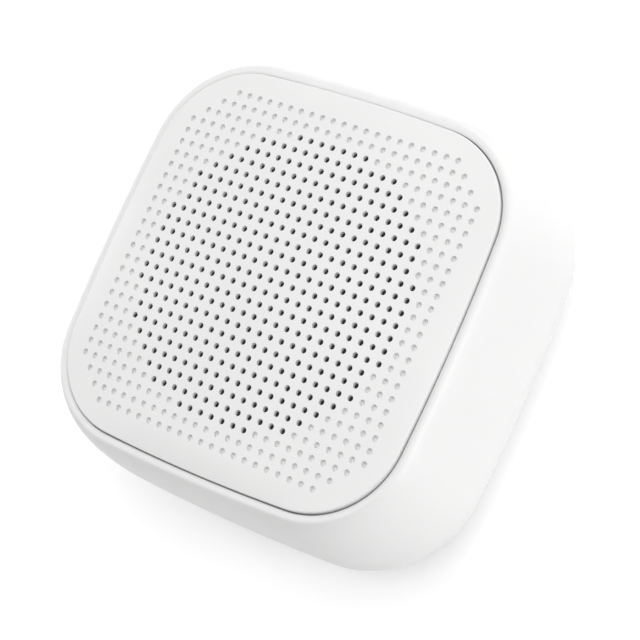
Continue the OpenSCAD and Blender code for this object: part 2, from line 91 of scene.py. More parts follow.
def outline(b, rc, rs, n_side=26, n_corner=30):
    """Points and outward normals of the outline of half width b, anticlockwise from the middle of +X's side."""
    k, w = joint_of(b, rc, rs)
    e = rs - b
    pts, nor = [], []
    for q in range(4):
        c, s = math.cos(q * math.pi / 2), math.sin(q * math.pi / 2)
        angles = [(-w + 2 * w * i / n_side, 0) for i in range(n_side)]
        angles += [(w + (math.pi / 2 - 2 * w) * i / n_corner, 1) for i in range(n_corner)]
        for a, corner in angles:
            nx, ny = math.cos(a), math.sin(a)
            x, y = (k + rc * nx, k + rc * ny) if corner else (-e + rs * nx, rs * ny)
            pts.append((x * c - y * s, x * s + y * c))
            nor.append((nx * c - ny * s, nx * s + ny * c))
    return np.array(pts), np.array(nor)


BODY_P, BODY_N = outline(B1, RC, RS)
PANEL_P, PANEL_N = outline(PB, PRC, PRS)


def side_at(z):
    return B1 if z < Z_WIDE else B0 + SHOULDER_IN * math.sqrt(max(0.0, 1 - ((z - Z_WIDE) / (Z_CREST - Z_WIDE)) ** 2))


def arc(cx, cz, r, a0, a1, n):
    return [(cx + r * math.cos(math.radians(a0 + (a1 - a0) * i / n)), cz + r * math.sin(math.radians(a0 + (a1 - a0) * i / n))) for i in range(n + 1)]


# ------------------------------------------------------------------ mesh helpers
def new_object(name, verts, faces, scale=1.0):
    me = bpy.data.meshes.new(name)
    me.from_pydata([tuple(c * scale for c in v) for v in verts], [], faces)
    me.validate()
    o = bpy.data.objects.new(name, me)
    bpy.context.scene.collection.objects.link(o)
    return o


def sweep(points, normals, half, profile, closed=True, cap_first=False, cap_last=False):
    """Rings that follow an outline. profile is a list of (half width, z); a closed profile gives a ring-shaped solid."""
    n, m = len(points), len(profile)
    verts = []
    for h, z in profile:
        ring = points + normals * (h - half)
        verts += [(x, y, z) for x, y in ring]
    faces = []
    for j in range(m if closed else m - 1):
        a, b = j * n, ((j + 1) % m) * n
        faces += [(a + i, a + (i + 1) % n, b + (i + 1) % n, b + i) for i in range(n)]
    if cap_first:
        faces.append(tuple(range(n - 1, -1, -1)))
    if cap_last:
        faces.append(tuple((m - 1) * n + i for i in range(n)))
    return verts, faces


def lathe(profile, centre=(0, 0), n=96, closed=True, cap_first=False, cap_last=False):
    a = np.linspace(0, 2 * math.pi, n, endpoint=False)
    unit = np.stack([np.cos(a), np.sin(a)], 1)
    pts = unit * 0 + np.array(centre)
    return sweep(pts, unit, 0.0, profile, closed, cap_first, cap_last)


def outward(o):
    bm = bmesh.new()
    bm.from_mesh(o.data)
    bmesh.ops.recalc_face_normals(bm, faces=bm.faces)
    bm.to_mesh(o.data)
    bm.free()
    return o


def boolean(o, other, operation):
    mod = o.modifiers.new("cut", "BOOLEAN")
    mod.object, mod.operation, mod.solver = other, operation, "EXACT"
    bpy.context.view_layer.update()
    ev = o.evaluated_get(bpy.context.evaluated_depsgraph_get())
    me = bpy.data.meshes.new_from_object(ev)
    o.modifiers.clear()
    old, o.data = o.data, me
    bpy.data.meshes.remove(old)
    gone = other.data
    bpy.data.objects.remove(other)
    bpy.data.meshes.remove(gone)
    return o


def tidy(o, angle=32.0, merge=0.0):
    """Smooth faces with sharp edges above an angle."""
    bm = bmesh.new()
    bm.from_mesh(o.data)
    if merge:
        bmesh.ops.remove_doubles(bm, verts=bm.verts, dist=merge)
        bmesh.ops.dissolve_degenerate(bm, edges=bm.edges, dist=merge * 0.5)
    for f in bm.faces:
        f.smooth = True
    for e in bm.edges:
        e.smooth = len(e.link_faces) == 2 and e.calc_face_angle(3.2) < math.radians(angle)
    bm.to_mesh(o.data)
    bm.free()
    return o


def joined(name, parts):
    """One object of several closed solids that don't meet."""
    verts, faces = [], []
    for v, f in parts:
        k = len(verts)
        verts += list(v)
        faces += [tuple(i + k for i in face) for face in f]
    return outward(new_object(name, verts, faces))


def stadium(w, h, r, n=8):
    """Outline and normals of a rectangle w by h with corners of radius r."""
    pts, nor = [], []
    for q, (sx, sy) in enumerate(((1, 1), (-1, 1), (-1, -1), (1, -1))):
        for i in range(n + 1):
            a = math.pi / 2 * (q + i / n)
            pts.append((sx * (w / 2 - r) + r * math.cos(a), sy * (h / 2 - r) + r * math.sin(a)))
            nor.append((math.cos(a), math.sin(a)))
    return np.array(pts), np.array(nor)


def body_y(x, z, off=0.0):
    """Y of the body's key side at x and z, or of a surface moved out by off."""
    s = side_at(z) - B1 + off
    k, w = joint_of(B1, RC, RS)
    if abs(x) > k:
        r = RC + s
        return k + math.sqrt(max(0.0, r * r - (abs(x) - k) ** 2))
    return -(RS - B1) + math.sqrt(max(0.0, (RS + s) ** 2 - x * x))


def inner_y(x, z, off=0.0):
    """Y of the inside of the wall on the key side."""
    wall_in = np.interp(z, (Z_WIDE, 12, 16), (B1 - WALL, side_at(12) - WALL, side_at(16) - WALL))
    k, w = joint_of(B1, RC, RS)
    r = RC + (wall_in - B1) + off
    if abs(x) > k and r > abs(abs(x) - k):
        return k + math.sqrt(r * r - (abs(x) - k) ** 2)
    return -(RS - B1) + math.sqrt((RS + (wall_in - B1) + off) ** 2 - x * x)


def opening_cutter(name, surface, u0, v0, pts, nor, to_xyz, r=0.15, deep=4.0, out=1.5, steps=4):
    """A cutter for an opening whose rim is rounded with radius r. surface(u, v) is the height of the outside."""
    rings = [(-deep, 0.0), (-0.6, 0.0)]
    rings += [(-r * (1 - math.sin(math.pi / 2 * i / steps)), r * (1 - math.cos(math.pi / 2 * i / steps))) for i in range(steps + 1)]
    rings += [(0.06, r + 0.02), (out, r + 0.02)]
    verts, n = [], len(pts)
    for depth, off in rings:
        for (pu, pv), (nu, nv) in zip(pts, nor):
            u, v = u0 + pu + nu * off, v0 + pv + nv * off
            verts.append(to_xyz(u, v, surface(u, v) + depth))
    faces = []
    for j in range(len(rings) - 1):
        faces += [(j * n + i, j * n + (i + 1) % n, (j + 1) * n + (i + 1) % n, (j + 1) * n + i) for i in range(n)]
    faces.append(tuple(range(n - 1, -1, -1)))
    faces.append(tuple((len(rings) - 1) * n + i for i in range(n)))
    return outward(new_object(name, verts, faces))


def on_y(u, v, w):
    return (u, w, v)


def on_x(u, v, w):
    return (-w, u, v)


# ------------------------------------------------------------------ front panel
PANEL_K, PANEL_W = joint_of(PB, PRC, PRS)


def to_edge(x, y):
    """Distance to the panel's outline, and the direction outwards."""
    ax, ay, e = abs(x), abs(y), PRS - PB
    best = None
    for u, v, flip in ((ax, ay, False), (ay, ax, True)):
        if v <= math.tan(PANEL_W) * (u + e):
            r = math.hypot(u + e, v)
            n = ((u + e) / r, v / r)
            if best is None or PRS - r < best[0]:
                best = (PRS - r, (n[1], n[0]) if flip else n)
    if best is None:
        r = max(1e-6, math.hypot(ax - PANEL_K, ay - PANEL_K))
        best = (PRC - r, ((ax - PANEL_K) / r, (ay - PANEL_K) / r))
    d, (nx, ny) = best
    return d, (math.copysign(nx, x), math.copysign(ny, y))


def dome_at(x, y):
    return DEPTH - (x * x + y * y) / (2 * DOME_R)


FALL = 3.3


def panel_z(x, y):
    """The front: a dome that falls away a little more near its edge, so that the edge is level."""
    z = dome_at(x, y)
    if max(abs(x), abs(y)) < PB - FALL - 7.5:
        return z
    d, (nx, ny) = to_edge(x, y)
    if d >= FALL:
        return z
    d = max(d, 0.0)
    more = max(0.0, dome_at(x + nx * d, y + ny * d) - Z_EDGE)
    return z - more * (1 - d / FALL) ** 2


def panel_normal(x, y):
    h = 0.02
    return Vector(((panel_z(x - h, y) - panel_z(x + h, y)) / (2 * h), (panel_z(x, y - h) - panel_z(x, y + h)) / (2 * h), 1.0)).normalized()


def build_panel():
    verts, faces, top = [], [], []

    def add(x, y, z):
        verts.append((x, y, z))
        return len(verts) - 1

    seg, r_rim, r_out = 16, 0.055, 0.57
    cells = [(i, j) for i in range(-CELLS, CELLS + 1) for j in range(-CELLS, CELLS + 1) if abs(i) + abs(j) <= CUT]
    cell_set = set(cells)
    border = {}
    edge_use = {}

    def square(i, j):
        """The cell's border, anticlockwise from the middle of its +X side, at every quarter of a side."""
        keys = [(4 * i + 2, 4 * j + t) for t in (0, 1)]
        keys += [(4 * i + 2 - t, 4 * j + 2) for t in (0, 1, 2, 3)]
        keys += [(4 * i - 2, 4 * j + 2 - t) for t in (0, 1, 2, 3)]
        keys += [(4 * i - 2 + t, 4 * j - 2) for t in (0, 1, 2, 3)]
        keys += [(4 * i + 2, 4 * j - 2 + t) for t in (0, 1)]
        return keys

    def shared(store, key):
        if key not in store:
            x, y = key[0] * PITCH / 4, key[1] * PITCH / 4
            store[key] = add(x, y, panel_z(x, y))
        return store[key]

    def band(a, b, use_top=False):
        n = len(a)
        for k in range(n):
            faces.append((a[k], b[k], b[(k + 1) % n], a[(k + 1) % n]))
            top.append(use_top)

    ang = [2 * math.pi * k / seg for k in range(seg)]
    open_cells, open_rings = [], []
    for i, j in cells:
        cx, cy = i * PITCH, j * PITCH
        is_open = math.hypot(cx, cy) < OPEN_R
        keys = square(i, j)
        outer = [shared(border, k) for k in keys]
        for k in range(16):
            e = (keys[k], keys[(k + 1) % 16])
            edge_use[e] = True

        def ring(r, depth, flat=None):
            return [add(cx + r * math.cos(a), cy + r * math.sin(a), (flat if flat is not None else panel_z(cx + r * math.cos(a), cy + r * math.sin(a))) - depth) for a in ang]

        rings = [outer, ring(r_out, 0), ring(HOLE_R + r_rim, 0)]
        band(rings[1], rings[0], True)
        band(rings[2], rings[1], True)
        last = rings[2]
        for s in (1, 2, 3):
            t = math.pi / 2 * s / 3
            nxt = ring(HOLE_R + r_rim * (1 - math.sin(t)), r_rim * (1 - math.cos(t)))
            band(nxt, last)
            last = nxt
        zc = panel_z(cx, cy)
        if is_open:
            open_cells.append((i, j))
            low = [add(cx + HOLE_R * math.cos(t), cy + HOLE_R * math.sin(t), dome_at(cx, cy) - FIELD_T) for t in ang]
            band(low, last)
            open_rings.append(low)
        else:
            low = ring(HOLE_R, 0.27)
            band(low, last)
            for k, depth in ((0.9, 0.37), (0.62, 0.45)):
                nxt = ring(HOLE_R * k, depth)
                band(nxt, low)
                low = nxt
            c = add(cx, cy, zc - 0.48)
            for k in range(seg):
                faces.append((low[k], c, low[(k + 1) % seg]))
                top.append(False)

    def boundary(use):
        """Directed border edges of the cells that have no twin, chained into one loop."""
        nxt = {a: b for (a, b) in use if (b, a) not in use}
        start = next(iter(sorted(nxt)))
        loop, k = [start], nxt[start]
        while k != start:
            loop.append(k)
            k = nxt[k]
        return loop

    def fill(loops, outer_idx, extra, keep, up):
        """Triangles between closed loops of vertices."""
        pts, idx, edges = [], [], []
        for loop in list(loops) + [outer_idx]:
            a = len(pts)
            pts += [Vector(verts[i][:2]) for i in loop]
            idx += list(loop)
            edges += [(a + i, a + (i + 1) % len(loop)) for i in range(len(loop))]
        for x, y, z in extra:
            pts.append(Vector((x, y)))
            idx.append(add(x, y, z))
        out = delaunay_2d_cdt(pts, edges, [], 0, 1e-6, True)
        vs, fs, orig = out[0], out[2], out[3]
        outer_pts = [verts[i][:2] for i in outer_idx]
        mp = [idx[o[0]] if o else None for o in orig]
        for f in fs:
            if any(mp[i] is None for i in f):
                continue
            cx = sum(vs[i].x for i in f) / len(f)
            cy = sum(vs[i].y for i in f) / len(f)
            if not keep(cx, cy) or not in_ring(cx, cy, outer_pts):
                continue
            face = tuple(mp[i] for i in f)
            (x0, y0), (x1, y1), (x2, y2) = (vs[i] for i in f[:3])
            if ((x1 - x0) * (y2 - y0) - (x2 - x0) * (y1 - y0) > 0) != up:
                face = face[::-1]
            faces.append(face)
            top.append(up)

    def in_ring(x, y, ring):
        inside, n = False, len(ring)
        for i in range(n):
            x1, y1 = ring[i]
            x2, y2 = ring[(i + 1) % n]
            if (y1 > y) != (y2 > y) and x < (x2 - x1) * (y - y1) / (y2 - y1) + x1:
                inside = not inside
        return inside

    # outside of the panel: top edge rounded, then a plain wall
    r_edge = 0.15

    def ring_at(half, drop, z=None):
        p = PANEL_P + PANEL_N * (half - PB)
        q = PANEL_P + PANEL_N * (-r_edge)
        return [add(x, y, (z if z is not None else panel_z(xq, yq) - drop)) for (x, y), (xq, yq) in zip(p, q)]

    ring0 = ring_at(PB - r_edge, 0)
    # a few points between the field and the edge keep the triangles even
    extra = []
    for n, half in enumerate((PB - 0.4, PB - 0.8, PB - 1.3, PB - 1.9, PB - 2.6, PB - 3.4, PB - 4.4)):
        p = PANEL_P + PANEL_N * (half - PB)
        for x, y in p[(n % 2)::1 if half > PB - 1.4 else 2]:
            i, j = round(x / PITCH), round(y / PITCH)
            if all((i + di, j + dj) not in cell_set or max(abs(x - (i + di) * PITCH), abs(y - (j + dj) * PITCH)) > PITCH / 2 + 0.14 for di in (-1, 0, 1) for dj in (-1, 0, 1)):
                extra.append((x, y, panel_z(x, y)))
    stair = [border[k] for k in boundary(edge_use)]
    fill([stair], ring0, extra, lambda x, y: (round(x / PITCH), round(y / PITCH)) not in cell_set, True)
    last = ring0
    steps = 5
    for t in range(1, steps + 1):
        a = math.pi / 2 * t / steps
        nxt = ring_at(PB - r_edge + r_edge * math.sin(a), r_edge * (1 - math.cos(a)) + 0.02 * math.sin(a))
        band(nxt, last)
        last = nxt
    low1 = ring_at(PB, 0, Z_SEAT + 0.15 + 0.1)
    band(low1, last)
    low2 = ring_at(PB - 0.1, 0, Z_SEAT + 0.15)
    band(low2, low1)
    low3 = ring_at(PB - 1.3, 0, Z_SEAT + 0.15)
    band(low3, low2)
    p = PANEL_P + PANEL_N * (-1.3)
    inner = [add(x, y, dome_at(x, y) - PANEL_T) for x, y in p]
    band(inner, low3)
    circle = [(FIELD_R * math.cos(2 * math.pi * k / 128), FIELD_R * math.sin(2 * math.pi * k / 128)) for k in range(128)]
    rim_low = [add(x, y, dome_at(x, y) - PANEL_T) for x, y in circle]
    rim_up = [add(x, y, dome_at(x, y) - FIELD_T) for x, y in circle]
    fill([rim_low], inner, [], lambda x, y: math.hypot(x, y) > FIELD_R, False)
    band(rim_up, rim_low)
    open_set = set(open_cells)

    def solid(x, y):
        i, j = round(x / PITCH), round(y / PITCH)
        return (i, j) not in open_set or math.hypot(x - i * PITCH, y - j * PITCH) > HOLE_R * 0.97

    fill(open_rings, rim_up, [], solid, False)

    o = new_object("grille_panel", verts, faces)
    me = o.data
    flags = np.array(top, bool)
    if len(me.polygons) == len(flags):
        normals = [(0.0, 0.0, 0.0)] * len(me.loops)
        for p, is_top in zip(me.polygons, flags):
            if is_top:
                for li in p.loop_indices:
                    v = me.vertices[me.loops[li].vertex_index].co
                    normals[li] = panel_normal(v.x, v.y)
        for p in me.polygons:
            p.use_smooth = True
        bm = bmesh.new()
        bm.from_mesh(me)
        for e in bm.edges:
            e.smooth = len(e.link_faces) == 2 and e.calc_face_angle(3.2) < math.radians(40)
        bm.to_mesh(me)
        bm.free()
        me.normals_split_custom_set([tuple(v) for v in normals])
    return o


# ------------------------------------------------------------------ housing, rear cover, foot
def build_housing():
    gap = PB + 0.1
    r_part = 0.14
    profile = [(B1 - WALL, Z_PART + 0.05), (B1 - 0.6, Z_PART + 0.05), (B1 - r_part - 0.1, Z_PART + 0.05)]
    profile += arc(B1 - r_part, Z_PART + 0.05 + r_part, r_part, -90, 0, 5)
    profile += [(B1, Z_PART + 0.5), (B1, Z_PART + 1.2)]
    for i in range(0, 37):
        a = math.radians(2.45 * i)
        profile.append((B0 + SHOULDER_IN * math.cos(a), Z_WIDE + (Z_CREST - Z_WIDE) * math.sin(a)))
    # the front edge rolls softly into the gap round the panel
    profile += [(gap + 0.5, Z_CREST - 0.004), (gap + 0.36, Z_CREST - 0.02), (gap + 0.24, Z_CREST - 0.05), (gap + 0.14, Z_CREST - 0.095), (gap + 0.06, Z_CREST - 0.155), (gap + 0.02, Z_CREST - 0.21), (gap, Z_CREST - 0.3)]
    profile += [(gap, Z_SEAT + 0.3), (gap, Z_SEAT - 0.6)]
    profile += [(side_at(Z_PLATE) - WALL, Z_PLATE), (side_at(18) - WALL, 18), (side_at(16) - WALL, 16), (side_at(14) - WALL, 14), (side_at(12) - WALL, 12), (side_at(10) - WALL, 10), (B1 - WALL, Z_WIDE)]
    v, f = sweep(BODY_P, BODY_N, B1, profile)
    o = outward(new_object("housing_shell", v, f))

    # front plate with the driver's seat, screw bosses and the key board's ribs
    v, f = sweep(BODY_P, BODY_N, B1, [(B0 - 0.35, Z_PLATE), (B0 - 0.35, Z_SEAT)], closed=False, cap_first=True, cap_last=True)
    boolean(o, outward(new_object("t", v, f)), "UNION")
    v, f = lathe([(FLANGE_R + 1.6, Z_PLATE - 1.7), (FLANGE_R + 1.6, Z_PLATE + 0.3)], n=96, closed=False, cap_first=True, cap_last=True)
    boolean(o, outward(new_object("t", v, f)), "UNION")
    parts = [lathe([(2.3, 8), (2.3, Z_PLATE + 0.5)], (i * BOSS, j * BOSS), 40, False, True, True) for i in (-1, 1) for j in (-1, 1)]
    boolean(o, joined("t", parts), "UNION")
    v, f = lathe([(FLANGE_R + 0.25, DEPTH - 4.1 - 1), (FLANGE_R + 0.25, DEPTH + 2)], n=96, closed=False, cap_first=True, cap_last=True)
    boolean(o, outward(new_object("t", v, f)), "DIFFERENCE")
    v, f = lathe([(FLANGE_R - 1.4, 5), (FLANGE_R - 1.4, DEPTH)], n=96, closed=False, cap_first=True, cap_last=True)
    boolean(o, outward(new_object("t", v, f)), "DIFFERENCE")
    parts = [lathe([(1.0, 7), (1.0, 13)], (i * BOSS, j * BOSS), 32, False, True, True) for i in (-1, 1) for j in (-1, 1)]
    boolean(o, joined("t", parts), "DIFFERENCE")

    for s in (-1, 1):
        x = [16.9 * s, 19.4 * s]
        g = [15 * s, 17.55 * s]
        rib = box_part(min(x), max(x), 19.6, 22.4, 9.6, Z_PLATE + 0.5)
        groove = box_part(min(g), max(g), 20.65, 21.55, 9.0, 15.5)
        r = outward(new_object("r", *rib))
        boolean(r, outward(new_object("t", *groove)), "DIFFERENCE")
        boolean(o, r, "UNION")

    surf = lambda x, z: body_y(x, z)
    for s in (-1, 1):
        p, n = stadium(KEY_L + 0.3, KEY_H + 0.3, 2.0, 10)
        boolean(o, opening_cutter("t", surf, s * KEY_X, KEY_Z, p, n, on_y, r=0.2, deep=6), "DIFFERENCE")
    for x, r in ((-3, 0.8), (3, 0.5)):
        a = np.linspace(0, 2 * math.pi, 32, endpoint=False)
        n = np.stack([np.cos(a), np.sin(a)], 1)
        boolean(o, opening_cutter("t", surf, x, KEY_Z, n * r, n, on_y, r=0.12, deep=6), "DIFFERENCE")
    p, n = stadium(9.4, 3.7, 1.6, 10)
    boolean(o, opening_cutter("t", surf, 0, USB_Z, p, n, on_x, r=0.22, deep=6), "DIFFERENCE")
    return tidy(o, 34, merge=0.0005)


def box_part(x0, x1, y0, y1, z0, z1):
    v = [(x, y, z) for z in (z0, z1) for y in (y0, y1) for x in (x0, x1)]
    return v, [(0, 2, 3, 1), (4, 5, 7, 6), (0, 1, 5, 4), (2, 6, 7, 3), (0, 4, 6, 2), (1, 3, 7, 5)]


def build_cover():
    z0 = Z_PART - 0.05
    r_part = 0.13
    edge = []
    for i in range(0, 33):
        a = math.radians(90 * i / 32)
        edge.append((B1 - 0.1 - (ROUND_IN - 0.1) * (1 - math.cos(a)), z0 - (ROUND_H - 0.05) * math.sin(a)))
    # the last bit before the parting line is rounded over
    edge = [e for e in edge if e[1] < z0 - 0.35]
    profile = [(PAD_HALF - 1.4, Z_REAR + 0.6), (PAD_HALF + 0.1, Z_REAR + 0.6), (PAD_HALF + 0.1, Z_REAR + 0.12)]
    profile += arc(PAD_HALF + 0.1 + 0.12, Z_REAR + 0.12, 0.12, 180, 270, 3)
    profile += list(reversed(edge))
    profile += [(B1 - 0.1, z0 - 0.3)] + arc(B1 - 0.1 - r_part, z0 - r_part, r_part, 0, 90, 4)
    profile += [(B1 - WALL - 0.2, z0), (B1 - WALL - 0.2, Z_PART + 1.15), (B1 - WALL - 1.2, Z_PART + 1.15), (B1 - WALL - 1.2, Z_PART - 0.1)]
    for a in (20, 40, 60):
        c, s = math.cos(math.radians(a)), math.sin(math.radians(a))
        profile.append((B1 - 0.1 - (ROUND_IN - 0.1) * (1 - c) - WALL * c - 0.6, z0 - ROUND_H * s + WALL * s * 0.9 + 0.2))
    profile.append((PAD_HALF - 1.4, Z_REAR + 2))
    v, f = sweep(BODY_P, BODY_N, B1, profile)
    o = outward(new_object("rear_shell", v, f))
    v, f = sweep(BODY_P, BODY_N, B1, [(PAD_HALF - 1.3, Z_REAR + 0.6), (PAD_HALF - 1.3, Z_REAR + 2)], closed=False, cap_first=True, cap_last=True)
    boolean(o, outward(new_object("t", v, f)), "UNION")
    parts = [lathe([(3, Z_REAR + 1), (3, 7.9)], (i * BOSS, j * BOSS), 48, False, True, True) for i in (-1, 1) for j in (-1, 1)]
    parts += [lathe([(1.9, Z_REAR + 1), (1.9, 8.4)], (s * 20, s * 8), 40, False, True, True) for s in (-1, 1)]
    boolean(o, joined("t", parts), "UNION")
    parts = [lathe([(2, 0), (2, 4.2), (1.15, 4.2), (1.15, 12)], (i * BOSS, j * BOSS), 40, False, True, True) for i in (-1, 1) for j in (-1, 1)]
    parts += [lathe([(0.8, Z_REAR + 2.2), (0.8, 10.2)], (s * 20, s * 8), 32, False, True, True) for s in (-1, 1)]
    boolean(o, joined("t", parts), "DIFFERENCE")
    return tidy(o, 34, merge=0.0005)


def build_foot():
    r = 0.8
    profile = [(PAD_HALF - 1.6, 0.0), (PAD_HALF - r - 0.25, 0.0)] + arc(PAD_HALF - r, r, r, -90, 0, 9) + [(PAD_HALF, 1.2), (PAD_HALF, Z_REAR + 0.36), (PAD_HALF - 0.04, Z_REAR + 0.4)]
    n = len(BODY_P)
    v, f = sweep(BODY_P, BODY_N, B1, profile, closed=False, cap_first=True, cap_last=True)
    return tidy(outward(new_object("foot", v, f)), 34)


def build_key(name, sx):
    """A key with a rounded rim that follows the side of the body, on a flange that keeps it in."""
    cx = sx * KEY_X
    y0 = 23.6
    p, n = stadium(KEY_L, KEY_H, 1.85, 12)
    q, m = stadium(KEY_L + 0.9, KEY_H + 0.9, 2.2, 12)
    rim, verts = 0.32, []
    for off, edge in ((-0.62, 0.1), (-0.55, 0.0), (-0.17, 0.0), (-0.1, 0.1)):
        for (a, b), (ma, mb) in zip(q, m):
            u, v = a - ma * edge, b - mb * edge
            verts.append((cx + u, inner_y(cx + u, KEY_Z + v, off), KEY_Z + v))
    verts += [(cx + a, inner_y(cx + a, KEY_Z + b, -0.1), KEY_Z + b) for a, b in p]
    verts += [(cx + a, 0.5 * (inner_y(cx + a, KEY_Z + b, 0) + body_y(cx + a, KEY_Z + b)), KEY_Z + b) for a, b in p]
    for i in range(0, 7):
        t = math.pi / 2 * i / 6
        off, drop = rim * (1 - math.cos(t)), rim * (1 - math.sin(t))
        for (a, b), (na, nb) in zip(p, n):
            u, v = a - na * off, b - nb * off
            verts.append((cx + u, body_y(cx + u, KEY_Z + v, KEY_PROUD) - drop, KEY_Z + v))
    # a face with a shallow dish, in rings that close on the middle
    for k in (0.82, 0.6, 0.35, 0.12):
        for (a, b), (na, nb) in zip(p, n):
            u, v = (a - na * rim) * k, (b - nb * rim) * k
            dish = 0.05 * (1 - min(1.0, k / 0.82)) ** 0.5
            verts.append((cx + u, body_y(cx + u, KEY_Z + v, KEY_PROUD) - dish, KEY_Z + v))
    c = len(p)
    count = len(verts) // c
    faces = []
    for j in range(count - 1):
        faces += [(j * c + i, j * c + (i + 1) % c, (j + 1) * c + (i + 1) % c, (j + 1) * c + i) for i in range(c)]
    # the back steps down to a flat pad for the plunger
    back = len(verts)
    for k, y in ((0.9, None), (0.9, y0), (0.45, y0)):
        for a, b in p:
            u, v = a * k, b * k
            verts.append((cx + u, min(inner_y(cx + u, KEY_Z + v, -0.62), 24.6) if y is None else y, KEY_Z + v))
    for i in range(c):
        j = (i + 1) % c
        faces.append((back + i, back + j, j, i))
        faces.append((back + c + i, back + c + j, back + j, back + i))
        faces.append((back + 2 * c + i, back + 2 * c + j, back + c + j, back + c + i))
    faces.append(tuple(back + 2 * c + i for i in range(c - 1, -1, -1)))
    faces.append(tuple((count - 1) * c + i for i in range(c)))
    return tidy(outward(new_object(name, verts, faces)), 40, merge=0.001)


# ------------------------------------------------------------------ materials
def principled(name, **values):
    m = bpy.data.materials.new(name)
    m.use_nodes = True
    nt = m.node_tree
    for n in list(nt.nodes):
        nt.nodes.remove(n)
    out = nt.nodes.new("ShaderNodeOutputMaterial")
    b = nt.nodes.new("ShaderNodeBsdfPrincipled")
    nt.links.new(b.outputs["BSDF"], out.inputs["Surface"])
    for k, v in values.items():
        b.inputs[k.replace("_", " ")].default_value = v
    return m, nt, b


def coords(nt, scale=(1, 1, 1)):
    tc = nt.nodes.new("ShaderNodeTexCoord")
    mp = nt.nodes.new("ShaderNodeMapping")
    mp.inputs["Scale"].default_value = scale
    nt.links.new(tc.outputs["Object"], mp.inputs["Vector"])
    return mp.outputs["Vector"]


def noise(nt, vec, scale, detail=2.0, rough=0.5):
    n = nt.nodes.new("ShaderNodeTexNoise")
    n.inputs["Scale"].default_value = scale
    n.inputs["Detail"].default_value = detail
    n.inputs["Roughness"].default_value = rough
    nt.links.new(vec, n.inputs["Vector"])
    return n.outputs["Fac"]


def span(nt, value, lo, hi, a=0.0, b=1.0):
    n = nt.nodes.new("ShaderNodeMapRange")
    for k, v in (("From Min", a), ("From Max", b), ("To Min", lo), ("To Max", hi)):
        n.inputs[k].default_value = v
    nt.links.new(value, n.inputs["Value"])
    return n.outputs["Result"]


def tint(nt, fac, c0, c1):
    n = nt.nodes.new("ShaderNodeMix")
    n.data_type = "RGBA"
    nt.links.new(fac, n.inputs[0])
    n.inputs[6].default_value = (*c0, 1)
    n.inputs[7].default_value = (*c1, 1)
    return n.outputs[2]


def bump(nt, shader, height, strength, distance):
    n = nt.nodes.new("ShaderNodeBump")
    n.inputs["Strength"].default_value = strength
    n.inputs["Distance"].default_value = distance
    nt.links.new(height, n.inputs["Height"])
    nt.links.new(n.outputs["Normal"], shader.inputs["Normal"])


def moulded(name, c, c2, rough, rough_span=0.04, grain=9000, grain_depth=0.0000012, strength=0.25, coat=0.0, specular=0.5):
    """Moulded plastic: a fine spark-eroded grain, slow flow marks in the tone, and a gloss that varies a little."""
    m, nt, b = principled(name, Roughness=rough)
    b.inputs["Specular IOR Level"].default_value = specular
    b.inputs["Coat Weight"].default_value = coat
    b.inputs["Coat Roughness"].default_value = 0.25
    v = coords(nt)
    flow = noise(nt, v, 55, 3.0, 0.55)
    nt.links.new(tint(nt, span(nt, flow, 0, 1, 0.3, 0.7), c, c2), b.inputs["Base Color"])
    patch = noise(nt, v, 420, 3.0, 0.6)
    nt.links.new(span(nt, patch, rough - rough_span, rough + rough_span, 0.3, 0.7), b.inputs["Roughness"])
    bump(nt, b, noise(nt, v, grain, 2.0, 0.6), strength, grain_depth)
    return m


def metal(name, c, c2, rough, brushed=(1, 1, 1), depth=0.000004):
    m, nt, b = principled(name, Metallic=1.0, Roughness=rough)
    v = coords(nt, brushed)
    n = noise(nt, v, 1400, 3.0, 0.6)
    nt.links.new(tint(nt, span(nt, n, 0, 1, 0.25, 0.75), c, c2), b.inputs["Base Color"])
    nt.links.new(span(nt, n, rough - 0.08, rough + 0.1, 0.25, 0.75), b.inputs["Roughness"])
    bump(nt, b, n, 0.2, depth)
    return m


def weave(name, dark, light, count, rough, depth, sheen=0.2, holes=False):
    """A plain weave of threads along X and Y."""
    m, nt, b = principled(name, Roughness=rough)
    b.inputs["Sheen Weight"].default_value = sheen
    b.inputs["Sheen Roughness"].default_value = 0.5
    v = coords(nt)
    waves = []
    for axis in ("X", "Y"):
        w = nt.nodes.new("ShaderNodeTexWave")
        w.wave_type, w.bands_direction, w.wave_profile = "BANDS", axis, "SIN"
        w.inputs["Scale"].default_value = count
        w.inputs["Distortion"].default_value = 0.35
        w.inputs["Detail"].default_value = 1.0
        nt.links.new(v, w.inputs["Vector"])
        waves.append(w.outputs["Fac"])
    mx = nt.nodes.new("ShaderNodeMath")
    mx.operation = "MAXIMUM"
    nt.links.new(waves[0], mx.inputs[0])
    nt.links.new(waves[1], mx.inputs[1])
    nt.links.new(tint(nt, mx.outputs[0], dark, light), b.inputs["Base Color"])
    bump(nt, b, mx.outputs[0], 0.6, depth)
    return m


def board(name):
    """Solder mask with tracks under it."""
    m, nt, b = principled(name, Roughness=0.32)
    b.inputs["Coat Weight"].default_value = 0.4
    v = coords(nt)
    br = nt.nodes.new("ShaderNodeTexBrick")
    br.inputs["Scale"].default_value = 420
    br.inputs["Mortar Size"].default_value = 0.045
    br.inputs["Color1"].default_value = (0.010, 0.085, 0.045, 1)
    br.inputs["Color2"].default_value = (0.014, 0.105, 0.055, 1)
    br.inputs["Mortar"].default_value = (0.03, 0.19, 0.10, 1)
    nt.links.new(v, br.inputs["Vector"])
    nt.links.new(br.outputs["Color"], b.inputs["Base Color"])
    bump(nt, b, br.outputs["Fac"], 0.3, 0.00002)
    return m


